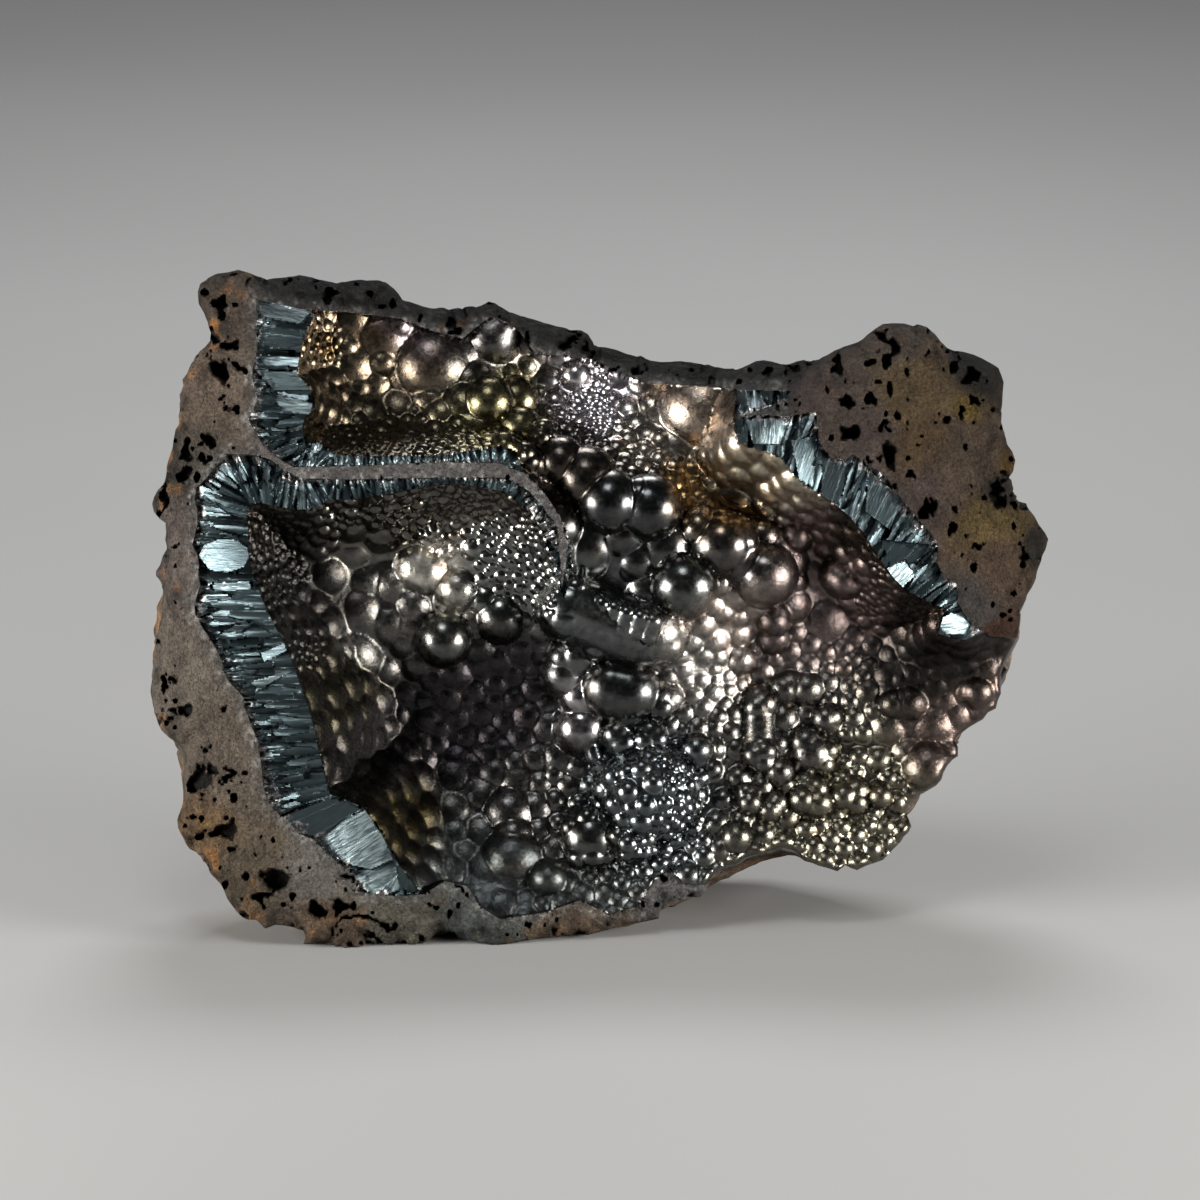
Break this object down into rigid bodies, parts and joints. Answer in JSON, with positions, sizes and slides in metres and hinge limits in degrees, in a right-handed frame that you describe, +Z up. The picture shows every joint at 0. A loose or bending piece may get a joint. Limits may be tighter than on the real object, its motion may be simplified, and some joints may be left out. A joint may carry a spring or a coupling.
{
  "type": "goethite vug specimen",
  "caption": "Broken fragment of a goethite vug: botryoidal, glossy crust in a hollow of porous limonite matrix, standing on a flat cut.",
  "frame": {"origin": "on the flat cut that the piece stands on, a little right of its middle", "axes": "+Z up from the flat cut, +Y from the open face to the back, +X to the right as the open face is seen"},
  "size_m": [0.1204, 0.0508, 0.0876],
  "materials": {
    "limonite": "porous brown-grey limonite, matte, with ochre stains and black pores",
    "goethite": "glossy black botryoidal skin with bronze, gold and rose tarnish over steel-blue silky fibres"
  },
  "bodies": {
    "root": {"limonite_matrix": "limonite", "goethite_crust": "goethite"}
  },
  "joints": []
}
